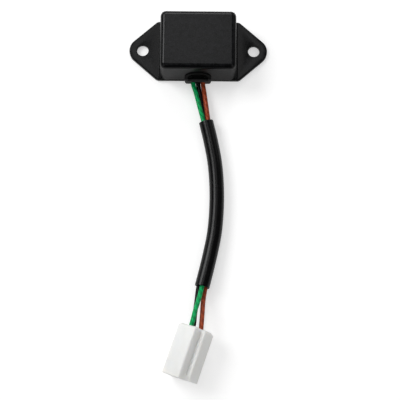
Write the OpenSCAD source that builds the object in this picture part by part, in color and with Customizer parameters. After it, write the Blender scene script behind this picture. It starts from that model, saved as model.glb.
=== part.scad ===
// Potted voltage regulator: a moulded case on two fixing ears, its lead and its T connector.
// Millimetres. The origin is the middle of the underside, +Z is up, and the lead leaves towards -Y.

/* [Fixing ears] */
// Distance between the two fixing holes
hole_pitch = 60; // [56:0.5:80]
// Diameter of a fixing hole
hole_d = 6.2; // [4:0.1:8]
// Radius of an ear's round tip, about its hole
ear_r = 7.2; // [6:0.05:9]
// Thickness of the ears and the base plate
ear_t = 2.2; // [1.6:0.1:3.5]
// Depth of the base plate, front to back
base_d = 33; // [32.8:0.1:36]
// Length of the base plate's straight front and back edges
base_flat = 42; // [41:0.1:46]
// Radius of the base plate's corners
base_corner_r = 3; // [1.5:0.1:5]
// Bevel along the top edge of the ears
ear_bevel = 0.45; // [0.1:0.05:0.8]

/* [Case] */
// Width of the case at its foot
case_w = 40.7; // [40:0.1:44]
// Depth of the case at its foot
case_d = 32.7; // [31:0.1:32.9]
// Height of the case above the underside
case_h = 21; // [20:0.1:26]
// Draft of the outer walls in degrees
draft = 1.3; // [0.5:0.1:3]
// Radius of the upright corners at the foot
corner_r = 3; // [2:0.1:5]
// Radius of the rounded edge round the top
edge_r = 2.6; // [1:0.1:3]
// Thickness of the walls
wall = 2; // [1.4:0.1:2.4]
// Thickness of the roof
roof = 2.2; // [1.4:0.1:3]
// Margin of the raised pad beyond the case's foot, at each side
pad_margin = 1.05; // [0.3:0.05:1.2]
// Height of the raised pad above the ears
pad_t = 0.7; // [0.3:0.1:1.2]

/* [Grommet] */
// Width of the grommet's outer face
grommet_w = 14.2; // [12:0.1:17]
// Height of the grommet's arch above the underside
grommet_h = 14.4; // [13:0.1:16]
// How far the lip stands out beyond the base plate
lip_out = 1.6; // [0.8:0.1:3]
// Height of the lip
lip_h = 4.6; // [4:0.1:6]
// Width of the window over the wires
window_w = 10.8; // [9.8:0.1:11.2]
// Height of the window's arch above the underside
window_top = 12.7; // [10:0.1:12.8]
// Depth of the window into the grommet's face
window_depth = 1.8; // [0.8:0.1:2.2]
// Width of the notch in the front wall
notch_w = 11.8; // [11.6:0.1:12.2]
// Thickness of the flange inside the wall
inner_flange_t = 1.2; // [0.8:0.1:1.8]
// How far the flanges lap the notch
notch_lap = 1.2; // [1:0.1:1.6]

/* [Circuit board] */
// Gap between the board and each side wall
board_side_gap = 1.5; // [1:0.1:2.5]
// Gap between the board and the front wall, where the wires pass
board_front_gap = 2.5; // [2.3:0.1:3.2]
// Gap between the board and the back wall
board_back_gap = 1.3; // [1:0.1:2]
// Thickness of the board
board_t = 1.6; // [0.8:0.1:2]
// Clear height between the board and the roof
head_room = 8; // [7.6:0.1:8.4]
// Side of the square pillars that the board seats on
pillar_w = 3; // [2:0.1:3.6]
// Level of the potting above the underside
potting_z = 0.4; // [0.1:0.1:0.6]

/* [Lead] */
// Diameter of each wire over its insulation
wire_d = 2.4; // [2:0.1:2.45]
// Height of the wires where they leave the grommet
exit_z = 2; // [1.6:0.1:2.4]
// Distance between the wires where they leave the grommet
exit_step = 2.65; // [2.6:0.05:2.8]
// Wall of the sleeve
sleeve_wall = 0.6; // [0.4:0.05:0.7]
// Bore of the sleeve
sleeve_bore = 6.5; // [6.5:0.1:6.8]

/* [Connector] */
// Width of the two way bar
bar_w = 16.6; // [15.8:0.1:19]
// Thickness of the bar
bar_t = 9; // [8.2:0.1:10.4]
// Width of the one way stem
stem_w = 10.8; // [9:0.1:13]
// Height of the stem above the bar
stem_h = 5.6; // [5.4:0.1:7]
// Length of the connector
connector_l = 26.4; // [25:0.1:30]
// Distance from the middle to each cavity of the bar
cavity_x = 4.1; // [3.6:0.05:4.7]
// Height of the stem's cavity above the bar
stem_cavity_z = 2.8; // [2.6:0.1:3]
// Width of a cavity, along its blade
cavity_w = 6.8; // [6.6:0.1:7]
// Height of a cavity, across its blade
cavity_h = 3.6; // [3.4:0.1:4]
// Width of a blade slot in the front wall
slot_w = 5.6; // [4.8:0.1:6.2]
// Height of a blade slot in the front wall
slot_h = 2; // [1.4:0.1:2.6]
// Thickness of the front wall, with its corner webs
front_wall = 2.2; // [1:0.1:3]
// Bevel along the connector's long edges
long_bevel = 0.6; // [0.2:0.05:0.9]
// Bevel round the wire end, across the connector
end_bevel = 1.2; // [0.6:0.1:1.4]

/* [Terminals] */
// Width of a receptacle, over its rolled sides
receptacle_w = 6.2; // [5.4:0.1:6.4]
// Height of a receptacle
receptacle_h = 2.5; // [2.2:0.1:2.8]
// Length of a receptacle
receptacle_l = 7.8; // [6:0.1:8.4]
// Thickness of the brass strip
strip_t = 0.35; // [0.25:0.05:0.35]
// Opening between the rolled sides
roll_gap = 1.4; // [0.6:0.1:2.2]

/* [Hidden] */
$fn = 48;
hull_fn = 32;
eps = 0.01;
fit = 0.05;
over = 1;

// Heights and insets of the case
pad_top = ear_t + pad_t;
cavity_roof = case_h - roof;
function inset(z) = (z - pad_top) * tan(draft);

inner_face = -(case_d / 2 - wall);
cavity_r = 1;

// Centres of the base plate's corners
corner_x = base_flat / 2;
corner_y = base_d / 2 - base_corner_r;

// Grommet
lip_front = -base_d / 2 - lip_out;
lip_corner_r = 1.3;
lip_edge_r = 0.8;
hood_out = 0.3;
hood_face = -base_d / 2 - hood_out;
window_sill = 0.6;
cheek_w = 2.4;
cheek_h = 2.8;
cheek_back = 0.7;
notch_top = grommet_h - notch_lap;

// Board and its parts: each place is [x, y] on the board, and turned parts lie along y
board_w = case_w - 2 * wall - 2 * board_side_gap;
board_d = case_d - 2 * wall - board_front_gap - board_back_gap;
board_y = (board_front_gap - board_back_gap) / 2;
board_front = board_y - board_d / 2;
board_top = cavity_roof - head_room;
board_z = board_top - board_t;
lead_d = 0.7;
solder_r = 1.05;
solder_h = 1.1;
lead_end = 0.8;
wire_pad_y = board_front + 3.2;
wire_pad_x = [-4.2, 0, 4.2];
power_at = [-10.6, -0.2];
power_pitch = 2.54;
control_at = [9.4, -1.5];
control_pitch = 1.9;
zener_at = [2.4, -4.2];
flyback_at = [2.6, 7.6];
sense_at = [1.4, 3.2];
divider_at = [1.4, -0.6];
base_at = [12.2, 4.2];
capacitor_at = [12.2, board_front + 4];
axial_small = [2.5, 6.4, 10.16];
axial_large = [5, 9, 14];
capacitor_size = [7.2, 3, 6.4];
capacitor_pitch = 5.08;
power_body = [10, 9, 4.4];
power_tab = [10, 6, 1.3];
power_hole_d = 3.6;
power_leg = 3.2;
control_r = 2.4;
control_flat = 1.2;
control_h = 4.6;
control_stand = 1.6;

// Wires, in the order green, black, brown
wire_r = wire_d / 2;
GREEN = 0;
BLACK = 1;
BROWN = 2;
exit_x = [for (i = [-1:1]) i * exit_step];
wire_drop = 2.6;
flange_lead = 0.4;
head_share = [0.2, 0.6];
head_forward = [0.9, 2.6];
head_rise = [2.1, 0.5];
free_mid = [
    [[-0.95, -24.25, 3.2], [1.05, -32.2, 4.2]],
    [[1.25, -24.25, 1.7], [2.85, -32.2, 1.6]],
    [[3.55, -24.25, 3], [4.65, -32.2, 4]]];
tail_mid = [
    [[1.65, -134.7, 9], [-0.25, -141.4, 12.1]],
    [[0.55, -134.9, 4.5], [-0.35, -141.9, 4.3]],
    [[3.85, -135.4, 6.1], [3.35, -143.1, 9.2]]];
entry_shift = [[0.7, 0], [0.5, -2], [-0.5, 2]];
entry_lead = 3.5;

// Middle line of the sleeve, and how the three wires lie and twist in it
sleeve_route = [[4.55, -40.2, 3.9], [7.05, -50.65, 3.9], [9.3, -62.6, 3.9], [10.35, -75.05, 3.9],
    [10.35, -87.5, 3.9], [9.4, -99.5, 3.9], [7.6, -109.45, 4.2], [5.35, -119.45, 4.9], [3.15, -128.4, 5.6]];
bundle_r = 1.5;
bundle_angle = [150, 270, 30];
bundle_twist = 60;
bundle_sink = 0.45;
bundle_spread = [0, -0.45, 0.45];
spread_from = 0.8;

// Place and tilt of the connector, which rests on one long edge
connector_at = [2.95, -150.55];
connector_turn = -18.5;
connector_roll = 30;
connector_z = bar_w / 2 * sin(connector_roll);
bar_cavity_z = bar_t / 2;
cavity_mid = [[0, bar_t + stem_cavity_z], [-cavity_x, bar_cavity_z], [cavity_x, bar_cavity_z]];
cavity_turn = [0, 90, 90];

// Lengths along a terminal, from the wire end of the connector
terminal_play = 0.3;
receptacle_front = connector_l - front_wall - terminal_play;
receptacle_back = receptacle_front - receptacle_l;
crimp_l = 3;
crimp_gap = 1.6;
crimp_w = 2.4;
crimp_h = 1.7;
grip_l = 2.6;
grip_gap = 0.6;
crimp_back = receptacle_back - crimp_gap - crimp_l;
wire_end = crimp_back - grip_gap;
strip_w = 2.2;
strip_z = -wire_r - fit - strip_t;

// Where a point of the connector's own frame lies: x across, y towards the wires, z up the stem
function turn_z(p, a) = [p.x * cos(a) - p.y * sin(a), p.x * sin(a) + p.y * cos(a), p.z];
function roll_y(p, a) = [p.x * cos(a) - p.z * sin(a), p.y, p.x * sin(a) + p.z * cos(a)];
function in_connector(p) = [connector_at.x, connector_at.y, connector_z]
    + turn_z(roll_y(p, connector_roll), connector_turn);

// Sweep along a route
function unit(v) = v / norm(v);
function heading(path, i) = unit(path[min(i + 1, len(path) - 1)] - path[max(i - 1, 0)]);
function side_of(d) = unit(abs(d.z) > 0.9 ? [1, 0, 0] : [-d.y, d.x, 0]);
function ring(path, i, r, n) = let (d = heading(path, i), s = side_of(d), u = cross(s, d))
    [for (k = [0:n - 1]) path[i] + r * (cos(360 * k / n) * s + sin(360 * k / n) * u)];
function band(i, n, base = 0) = let (first = base + i * n)
    [for (k = [0:n - 1]) let (a = first + k, b = first + (k + 1) % n) [a, b, b + n, a + n]];

// Route of each wire, from the board to its terminal
function lay_angle(k, u) = bundle_angle[k] - bundle_twist * min(1, u / spread_from);
function lay_side(k, u) = bundle_r * cos(lay_angle(k, u))
    + bundle_spread[k] * max(0, (u - spread_from) / (1 - spread_from));
function lay_up(k, u) = bundle_r * sin(lay_angle(k, u)) - bundle_sink * (1 - u);
function in_sleeve(k, i) =
    let (u = i / (len(sleeve_route) - 1), d = heading(sleeve_route, i), s = side_of(d))
    sleeve_route[i] + lay_side(k, u) * s + lay_up(k, u) * cross(d, s);
function head_route(k) = let (x = wire_pad_x[k], g = exit_x[k]) [
    [x, wire_pad_y, board_z],
    [x, wire_pad_y, board_z - wire_drop],
    for (i = [0:1]) [x + (g - x) * head_share[i], wire_pad_y - head_forward[i], exit_z + head_rise[i]],
    [g, inner_face + inner_flange_t + flange_lead, exit_z],
    [g, lip_front, exit_z]];
function tail_route(k) = let (c = cavity_mid[k], d = entry_shift[k]) concat(tail_mid[k], [
    in_connector([c.x + d.x, 0, c.y + d.y]),
    in_connector([c.x + d.x / 2, -entry_lead, c.y + d.y / 2]),
    in_connector([c.x, -2 * entry_lead, c.y]),
    in_connector([c.x, -wire_end, c.y])]);
function wire_route(k) = concat(head_route(k), free_mid[k],
    [for (i = [0:len(sleeve_route) - 1]) in_sleeve(k, i)], tail_route(k));

// Solid rod swept along a path
module cord(path, r, n = 8) {
    last = len(path) - 1;
    points = [for (i = [0:last]) each ring(path, i, r, n)];
    ends = [[for (k = [n - 1:-1:0]) k], [for (k = [0:n - 1]) last * n + k]];
    polyhedron(points, concat([for (i = [0:last - 1]) each band(i, n)], ends), convexity = 10);
}

// Open tube swept along a path
module tube(path, r_out, r_in, n = 12) {
    last = len(path) - 1;
    skin = (last + 1) * n;
    outer = [for (i = [0:last]) each ring(path, i, r_out, n)];
    inner = [for (i = [0:last]) each ring(path, i, r_in / cos(180 / n), n)];
    outer_faces = [for (i = [0:last - 1]) each band(i, n)];
    inner_faces = [for (f = outer_faces) [for (j = [3:-1:0]) skin + f[j]]];
    near_end = [for (k = [0:n - 1]) let (m = (k + 1) % n) [m, k, skin + k, skin + m]];
    far_end = [for (f = near_end) [for (j = [3:-1:0]) last * n + f[j]]];
    polyhedron(concat(outer, inner), concat(outer_faces, inner_faces, near_end, far_end), convexity = 10);
}

// Outline of the base plate, its ears' tips and corners round
module base_outline(shrink = 0) {
    for (sx = [-1, 1]) {
        translate([sx * hole_pitch / 2, 0]) circle(ear_r - shrink, $fn = 2 * hull_fn);
        for (sy = [-1, 1])
            translate([sx * corner_x, sy * corner_y]) circle(base_corner_r - shrink, $fn = hull_fn);
    }
}

// One layer of the case: a rounded rectangle at a height
module rounded_layer(w, d, r, z) {
    for (sx = [-1, 1], sy = [-1, 1])
        translate([sx * (w / 2 - r), sy * (d / 2 - r), z]) cylinder(h = eps, r = r, $fn = hull_fn);
}

// Base plate with its ears, bevelled along the top
module base_plate() {
    hull() {
        linear_extrude(ear_t - ear_bevel) base_outline();
        linear_extrude(ear_t) base_outline(ear_bevel);
    }
}

// Drafted block of the case with its rounded top edge
module case_block() {
    edge_in = inset(case_h - edge_r) + edge_r;
    hull() {
        rounded_layer(case_w, case_d, corner_r, ear_t - ear_bevel);
        for (sx = [-1, 1], sy = [-1, 1])
            translate([sx * (case_w / 2 - edge_in), sy * (case_d / 2 - edge_in), case_h - edge_r])
                sphere(edge_r, $fn = hull_fn);
    }
}

// Space inside the case, from below the underside up to the roof
module cavity() {
    w = case_w - 2 * wall;
    d = case_d - 2 * wall;
    top_in = inset(cavity_roof);
    hull() {
        rounded_layer(w, d, cavity_r, -over);
        rounded_layer(w - 2 * top_in, d - 2 * top_in, cavity_r, cavity_roof - eps);
    }
}

// Corner pillars that hang from the roof and seat the board
module pillars() {
    top_in = inset(cavity_roof);
    reach = [case_w / 2 - wall - top_in, case_d / 2 - wall - top_in];
    side = pillar_w + wall / 2;
    for (sx = [-1, 1], sy = [-1, 1])
        translate([sx * (reach.x + wall / 2 - side / 2), sy * (reach.y + wall / 2 - side / 2), board_top])
            linear_extrude(cavity_roof + roof / 2 - board_top) square(side, center = true);
}

// Arched outline with a flat foot
module arch(w, top) {
    intersection() {
        union() {
            translate([-w / 2, 0]) square([w, top - w / 2]);
            translate([0, top - w / 2]) circle(w / 2);
        }
        translate([-w, 0]) square([2 * w, top]);
    }
}

// An outline in x and z, extruded from y0 to y1
module along_y(y0, y1) {
    translate([0, y1, 0]) rotate([90, 0, 0]) linear_extrude(y1 - y0) children();
}

// Case shell with its notch for the grommet
module case_shell() {
    difference() {
        union() {
            base_plate();
            translate([-case_w / 2 - pad_margin, -base_d / 2 + ear_bevel, ear_t / 2])
                cube([case_w + 2 * pad_margin, base_d - 2 * ear_bevel, pad_top - ear_t / 2]);
            case_block();
        }
        difference() {
            cavity();
            pillars();
        }
        for (sx = [-1, 1])
            translate([sx * hole_pitch / 2, 0, -over]) cylinder(h = ear_t + 2 * over, d = hole_d);
        along_y(-base_d / 2 - over, inner_face + over)
            translate([0, -over]) arch(notch_w, notch_top + over);
    }
}

// Moulded case with its two fixing ears
module housing() {
    color("#232326") case_shell();
}

// One layer of the lip, round at its front corners
module lip_layer(z, shrink) {
    for (sx = [-1, 1])
        translate([sx * (grommet_w / 2 - lip_corner_r), lip_front + lip_corner_r, z])
            cylinder(h = eps, r = lip_corner_r - shrink, $fn = hull_fn);
}

// Lip under the hood, its lower edge bevelled and its upper edge round
module lip() {
    hull() {
        translate([-grommet_w / 2, hood_face, 0]) cube([grommet_w, hood_out + ear_bevel, lip_h]);
        lip_layer(0, lip_edge_r);
        lip_layer(lip_edge_r, 0);
        for (a = [0:30:90])
            lip_layer(lip_h - eps - lip_edge_r * (1 - sin(a)), lip_edge_r * (1 - cos(a)));
    }
}

// Arched window in the hood's face, just above the wires, with a low cheek at each side
module window() {
    foot = exit_z + wire_r + window_sill;
    difference() {
        along_y(hood_face - over, hood_face + window_depth) translate([0, foot]) arch(window_w, window_top - foot);
        for (sx = [-1, 1])
            translate([sx * (window_w - cheek_w) / 2 - cheek_w / 2, hood_face + cheek_back, foot - over])
                cube([cheek_w, window_depth, cheek_h + over]);
    }
    translate([-window_w / 2 + cheek_w, lip_front - over, foot])
        cube([window_w - 2 * cheek_w, hood_face - lip_front + 2 * over, lip_h]);
}

// Rubber block before the wall is cut from it: hood and lip outside, flange inside
module grommet_blank() {
    difference() {
        union() {
            along_y(hood_face, inner_face + eps) arch(grommet_w, grommet_h);
            lip();
        }
        window();
    }
    along_y(inner_face, inner_face + inner_flange_t)
        translate([0, potting_z]) arch(notch_w + 2 * notch_lap, grommet_h - potting_z);
}

// Flat slot for the three wires
module wire_slot() {
    r = wire_r + fit;
    along_y(lip_front - over, inner_face + inner_flange_t + over) translate([0, exit_z]) {
        for (x = exit_x) translate([x, 0]) circle(r);
        translate([exit_x[0], -r]) square([2 * exit_step, 2 * r]);
    }
}

// Rubber grommet in the notch of the front wall
module grommet() {
    color("#161618") difference() {
        grommet_blank();
        case_shell();
        wire_slot();
    }
}

// Hole centres of every lead through the board
function axial_pads(at, size, turned) =
    [for (s = [-1, 1]) at + s * size[2] / 2 * (turned ? [0, 1] : [1, 0])];
power_pads = [for (i = [-1:1]) power_at + [i * power_pitch, -power_body.y / 2 - power_leg]];
control_pads = [for (i = [-1:1]) control_at + [i * control_pitch, 0]];
capacitor_pads = [for (s = [-1, 1]) capacitor_at + [s * capacitor_pitch / 2, 0]];
lead_pads = concat(power_pads, control_pads, capacitor_pads, axial_pads(zener_at, axial_small, false),
    axial_pads(flyback_at, axial_large, false), axial_pads(sense_at, axial_small, false),
    axial_pads(divider_at, axial_small, false), axial_pads(base_at, axial_small, true));
wire_pads = [for (x = wire_pad_x) [x, wire_pad_y]];

// Straight lead from a height down through the board
module lead(at, from_z) {
    translate([at.x, at.y, board_z - lead_end])
        cylinder(h = from_z - board_z + lead_end, d = lead_d, $fn = 16);
}

// Circuit board before its holes
module board_blank() {
    translate([-board_w / 2, board_front, board_z]) cube([board_w, board_d, board_t]);
}

// Circuit board with its lead holes
module circuit_board() {
    color("#3c7a3a") difference() {
        board_blank();
        for (p = concat(lead_pads, wire_pads))
            translate([p.x, p.y, board_z - over])
                cylinder(h = board_t + 2 * over, d = lead_d + 2 * fit, $fn = 16);
    }
}

// Body and two bent leads of a part that lies along the board
module axial_part(at, size, turned) {
    body_r = size[0] / 2;
    z = board_top + body_r + fit;
    translate([at.x, at.y, z]) rotate([0, 0, turned ? 90 : 0]) rotate([0, 90, 0]) {
        cylinder(h = size[1], d = size[0], center = true);
        cylinder(h = size[2], d = lead_d, center = true, $fn = 16);
    }
    for (p = axial_pads(at, size, turned)) {
        translate([p.x, p.y, z]) sphere(d = lead_d, $fn = 16);
        lead(p, z);
    }
}

// Power transistor that switches the field, lying flat on its tab
module power_transistor() {
    color("#2c2c2e") translate([power_at.x, power_at.y, board_top + fit]) difference() {
        union() {
            translate([-power_body.x / 2, -power_body.y / 2, 0]) cube(power_body);
            translate([-power_tab.x / 2, power_body.y / 2 - eps, 0]) cube(power_tab);
        }
        translate([0, power_body.y / 2 + power_tab.y / 2, -over])
            cylinder(h = power_tab.z + 2 * over, d = power_hole_d);
    }
    color("silver") for (p = power_pads) {
        z = board_top + power_body.z / 2;
        translate([p.x, p.y - lead_d / 2, z]) rotate([-90, 0, 0])
            cylinder(h = power_leg + lead_d / 2 + eps, d = lead_d, $fn = 16);
        lead(p, z);
    }
}

// Small transistor that senses the voltage, standing on its three leads
module control_transistor() {
    z = board_top + control_stand;
    color("#2c2c2e") translate([control_at.x, control_at.y, z]) difference() {
        cylinder(h = control_h, r = control_r);
        translate([-control_r, -control_flat - 2 * control_r, -over])
            cube([2 * control_r, 2 * control_r, control_h + 2 * over]);
    }
    color("silver") for (p = control_pads) lead(p, z + eps);
}

// Zener diode that sets the voltage
module zener_diode() {
    color("#c8552b") axial_part(zener_at, axial_small, false);
}

// Diode across the field
module flyback_diode() {
    color("#303033") axial_part(flyback_at, axial_large, false);
}

// Resistor on the sensing wire
module sense_resistor() {
    color("#c9b48a") axial_part(sense_at, axial_small, false);
}

// Lower resistor of the divider
module divider_resistor() {
    color("#c9b48a") axial_part(divider_at, axial_small, false);
}

// Resistor that drives the power transistor
module base_resistor() {
    color("#c9b48a") axial_part(base_at, axial_small, true);
}

// Film capacitor
module filter_capacitor() {
    z = board_top + fit;
    color("#a8382a")
        translate([capacitor_at.x - capacitor_size.x / 2, capacitor_at.y - capacitor_size.y / 2, z])
            cube(capacitor_size);
    color("silver") for (p = capacitor_pads) lead(p, z + eps);
}

// Solder cones under the board, and the soldered wire ends
module solder_joints() {
    color("silver") {
        difference() {
            for (p = lead_pads)
                translate([p.x, p.y, board_z - solder_h])
                    cylinder(h = solder_h, r1 = lead_d / 2, r2 = solder_r, $fn = 24);
            for (p = lead_pads) lead(p, board_z + eps);
        }
        for (p = wire_pads)
            translate([p.x, p.y, board_z]) {
                cylinder(h = board_t + solder_h / 2, d = lead_d, $fn = 16);
                translate([0, 0, board_t]) cylinder(h = solder_h, r1 = solder_r, r2 = lead_d / 2, $fn = 24);
            }
    }
}

// Everything that the potting surrounds
module potted_parts() {
    board_blank();
    power_transistor();
    control_transistor();
    zener_diode();
    flyback_diode();
    sense_resistor();
    divider_resistor();
    base_resistor();
    filter_capacitor();
    solder_joints();
    grommet_blank();
    pillars();
    for (k = [GREEN, BLACK, BROWN]) cord(head_route(k), wire_r);
}

// Resin that fills the case round the board
module potting() {
    color("#1d1d1f") difference() {
        intersection() {
            cavity();
            translate([-case_w, -case_d, potting_z]) cube([2 * case_w, 2 * case_d, case_h]);
        }
        potted_parts();
    }
}

// Insulated wires
module wire_green() {
    color("#0f9a57") cord(wire_route(GREEN), wire_r);
}

module wire_black() {
    color("#1a1a1c") cord(wire_route(BLACK), wire_r);
}

module wire_brown() {
    color("#9c4526") cord(wire_route(BROWN), wire_r);
}

// Sleeve over the three wires
module sleeve() {
    color("#202022") tube(sleeve_route, sleeve_bore / 2 + sleeve_wall, sleeve_bore / 2);
}

// Moves children into the connector's place
module connector_place() {
    translate([connector_at.x, connector_at.y, connector_z])
        rotate([0, 0, connector_turn]) rotate([0, -connector_roll, 0]) children();
}

// Rectangle with cut corners, in x and z
module cut_rectangle(w, z0, z1, c) {
    polygon([[-w / 2 + c, z0], [w / 2 - c, z0], [w / 2, z0 + c], [w / 2, z1 - c],
        [w / 2 - c, z1], [-w / 2 + c, z1], [-w / 2, z1 - c], [-w / 2, z0 + c]]);
}

// Block with bevelled long edges and a bevelled wire end
module bevelled_block(w, z0, z1, floor_in) {
    hull() {
        along_y(-connector_l, -end_bevel) cut_rectangle(w, z0, z1, long_bevel);
        along_y(-end_bevel, 0)
            cut_rectangle(w - 2 * end_bevel, z0 + floor_in, z1 - end_bevel, long_bevel / 2);
    }
}

// T shaped outside of the connector
module connector_blank() {
    bevelled_block(bar_w, 0, bar_t, end_bevel);
    bevelled_block(stem_w, bar_t / 2, bar_t + stem_h, 0);
    along_y(-connector_l, -connector_l + front_wall)
        polygon([[-bar_w / 2, bar_t - long_bevel], [bar_w / 2, bar_t - long_bevel],
            [stem_w / 2, bar_t + stem_h / 2], [-stem_w / 2, bar_t + stem_h / 2]]);
}

// One cavity with the blade slot in front of it
module connector_cavity(k) {
    translate([cavity_mid[k].x, 0, cavity_mid[k].y]) rotate([0, cavity_turn[k], 0]) {
        translate([-cavity_w / 2, -connector_l + front_wall, -cavity_h / 2])
            cube([cavity_w, connector_l - front_wall + over, cavity_h]);
        translate([-slot_w / 2, -connector_l - over, -slot_h / 2])
            cube([slot_w, front_wall + 2 * over, slot_h]);
    }
}

// Moulded body of the connector
module connector_housing() {
    color("#eeeeea") connector_place() difference() {
        connector_blank();
        for (k = [GREEN, BLACK, BROWN]) connector_cavity(k);
    }
}

// Section of a receptacle with its sides rolled over
module receptacle_section() {
    difference() {
        translate([-receptacle_w / 2, strip_z]) square([receptacle_w, receptacle_h]);
        translate([-receptacle_w / 2 + strip_t, strip_z + strip_t])
            square([receptacle_w - 2 * strip_t, receptacle_h - 2 * strip_t]);
        translate([-roll_gap / 2, strip_z + strip_t]) square([roll_gap, receptacle_h]);
    }
}

// Brass receptacle crimped on the end of a wire
module terminal(k) {
    color("#c8a24a") connector_place()
        translate([cavity_mid[k].x, 0, cavity_mid[k].y]) rotate([0, cavity_turn[k], 0]) {
            along_y(-receptacle_front, -receptacle_back) receptacle_section();
            along_y(-receptacle_back - eps, -wire_end + grip_l)
                translate([-strip_w / 2, strip_z]) square([strip_w, strip_t]);
            along_y(-crimp_back - crimp_l, -crimp_back)
                translate([-crimp_w / 2, strip_z + strip_t / 2]) square([crimp_w, crimp_h]);
            along_y(-wire_end, -wire_end + grip_l) difference() {
                circle(wire_r + fit + strip_t);
                circle(wire_r + fit);
            }
        }
}

module terminal_green() {
    terminal(GREEN);
}

module terminal_black() {
    terminal(BLACK);
}

module terminal_brown() {
    terminal(BROWN);
}

housing();
potting();
circuit_board();
power_transistor();
control_transistor();
zener_diode();
flyback_diode();
sense_resistor();
divider_resistor();
base_resistor();
filter_capacitor();
solder_joints();
grommet();
wire_green();
wire_black();
wire_brown();
sleeve();
connector_housing();
terminal_green();
terminal_black();
terminal_brown();
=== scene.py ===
"""Dresses a potted voltage regulator: its case, grommet, three wire lead and T connector."""

from math import ceil, cos, pi, radians, sin, tan

import bmesh
import bpy
from bpy.props import FloatProperty, FloatVectorProperty, PointerProperty
from mathutils import Matrix, Vector


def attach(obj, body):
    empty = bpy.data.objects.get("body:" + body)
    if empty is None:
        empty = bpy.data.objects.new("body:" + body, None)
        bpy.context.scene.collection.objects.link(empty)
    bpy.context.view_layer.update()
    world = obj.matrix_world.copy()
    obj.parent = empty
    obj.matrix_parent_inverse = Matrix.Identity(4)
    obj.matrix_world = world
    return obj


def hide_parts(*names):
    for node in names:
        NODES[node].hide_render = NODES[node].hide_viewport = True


bl_info = {
    "name": "Voltage regulator",
    "version": (1, 0, 0),
    "blender": (4, 5, 0),
    "location": "View3D > Sidebar > Regulator",
    "description": "Models the case, grommet, lead and connector round the packed solids",
    "category": "Object",
}

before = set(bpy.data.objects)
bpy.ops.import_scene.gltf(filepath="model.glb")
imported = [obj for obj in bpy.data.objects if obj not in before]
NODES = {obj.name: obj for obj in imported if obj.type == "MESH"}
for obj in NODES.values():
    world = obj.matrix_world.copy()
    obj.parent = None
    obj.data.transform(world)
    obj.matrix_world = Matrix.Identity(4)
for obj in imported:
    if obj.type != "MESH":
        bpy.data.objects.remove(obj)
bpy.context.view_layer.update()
MM = 0.001
Y, Z = 1, 2
SIDES = (-1, 1)
WIRES = ("green", "black", "brown")
WHITE = (1, 1, 1, 1)
# How near two places in a mesh are when they count as one
SAME = 1e-6
# How far a cutting block stands out past what it cuts
OVER = 1 * MM
# Faces that lean less than this from each other count as one flat face
FLAT = radians(0.4)
# Cosine from which an edge or a normal counts as running along an axis
ALONG = 0.9


def length(name, description, millimetres):
    """Property that holds a length, written in millimetres and kept in metres."""
    return FloatProperty(
        name=name, description=description, default=millimetres * MM, unit="LENGTH", precision=5
    )


def tilt(name, description, degrees):
    """Property that holds an angle, written in degrees."""
    return FloatProperty(
        name=name, description=description, default=radians(degrees), unit="ROTATION"
    )


def colour(name, description, value):
    """Property that holds a colour."""
    return FloatVectorProperty(
        name=name, description=description, default=value, min=0, max=1, size=3, subtype="COLOR"
    )


class CaseSizes(bpy.types.PropertyGroup):
    """Sizes of the moulded case and its ears."""

    hole_pitch: length("Hole pitch", "Distance between the two fixing holes", 60)
    hole_d: length("Hole", "Diameter of a fixing hole", 6.2)
    hole_rim: length("Hole rim", "Round on the rim of a fixing hole", 0.3)
    ear_r: length("Ear radius", "Radius of an ear's tip, about its hole", 7.2)
    ear_t: length("Ear thickness", "Thickness of the ears and the base plate", 2.2)
    ear_edge: length("Ear edge", "Round along the top edge of the ears", 0.45)
    base_d: length("Base depth", "Depth of the base plate", 33)
    base_flat: length("Base flat", "Length of the base plate's straight front and back", 42)
    base_corner_r: length("Base corner", "Radius of the base plate's corners", 3)
    width: length("Width", "Width of the case at its foot", 40.7)
    depth: length("Depth", "Depth of the case at its foot", 32.7)
    height: length("Height", "Height of the case above the underside", 21)
    draft: tilt("Draft", "Lean of the outer walls", 1.3)
    corner_r: length("Corner", "Radius of the upright corners", 3)
    edge_r: length("Top edge", "Radius of the rounded edge round the top", 2.6)
    wall: length("Wall", "Thickness of the walls", 2)
    roof: length("Roof", "Thickness of the roof", 2.2)
    cavity_r: length("Inner corner", "Radius of the cavity's corners", 1)
    pad_margin: length("Pad margin", "Margin of the raised pad beyond the case", 1.05)
    pad_t: length("Pad height", "Height of the raised pad above the ears", 0.7)
    pad_edge: length("Pad edge", "Round along the raised pad's edges", 0.2)
    notch_w: length("Notch", "Width of the notch in the front wall", 11.8)
    pillar_w: length("Pillar", "Side of a pillar that the board seats on", 3)
    board_top: length("Board top", "Height of the board's upper face", 10.8)


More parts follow.
